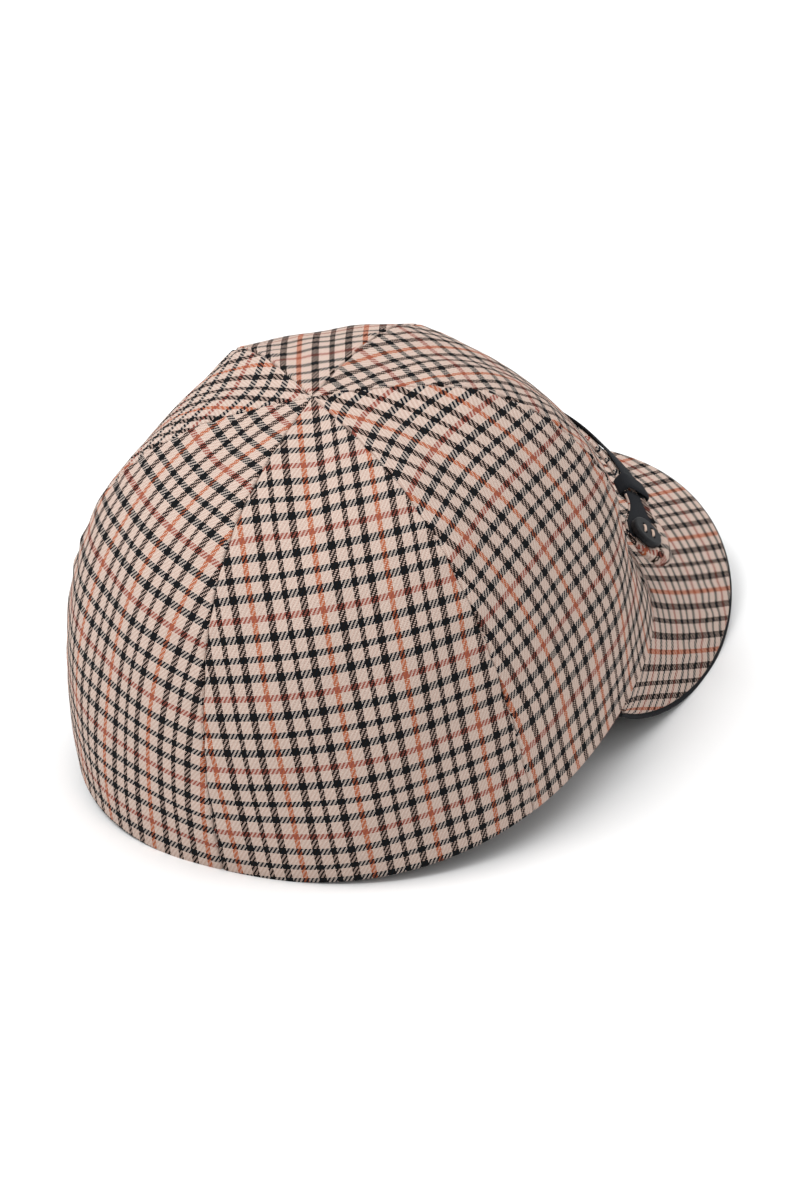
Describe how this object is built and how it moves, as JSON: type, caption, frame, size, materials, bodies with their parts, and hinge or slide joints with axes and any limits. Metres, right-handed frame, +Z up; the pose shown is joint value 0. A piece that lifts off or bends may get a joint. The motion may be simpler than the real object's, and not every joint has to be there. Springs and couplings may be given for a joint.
{
  "type": "check cloth cap",
  "caption": "Soft panelled cap in woven check cloth with an arched peak and a buttoned strap over the front, resting on its hem and peak.",
  "frame": {"origin": "on the floor, under the middle of the box that holds the resting cap", "axes": "+Z up, -Y towards the tip of the peak, -X towards the wearer's right; the cap is mirrored across the YZ plane"},
  "size_m": [0.1676, 0.294, 0.1316],
  "materials": {
    "check_cloth": "matte wool-like twill in a small check of near-black and rust lines on a pink-beige ground",
    "dark_cloth": "plain matte near-black cloth",
    "button_plastic": "satin near-black plastic"
  },
  "bodies": {
    "root": {"panel_front_right": "check_cloth", "panel_front_left": "check_cloth", "panel_side_right": "check_cloth", "panel_side_left": "check_cloth", "panel_rear_right": "check_cloth", "panel_rear_left": "check_cloth", "peak_cover": "check_cloth", "peak_underside": "dark_cloth", "strap_front": "check_cloth", "strap_facing": "dark_cloth", "strap_keeper_right": "dark_cloth", "strap_keeper_left": "dark_cloth", "strap_end_right": "check_cloth", "strap_end_left": "check_cloth", "button_right": "button_plastic", "button_left": "button_plastic"}
  },
  "joints": []
}
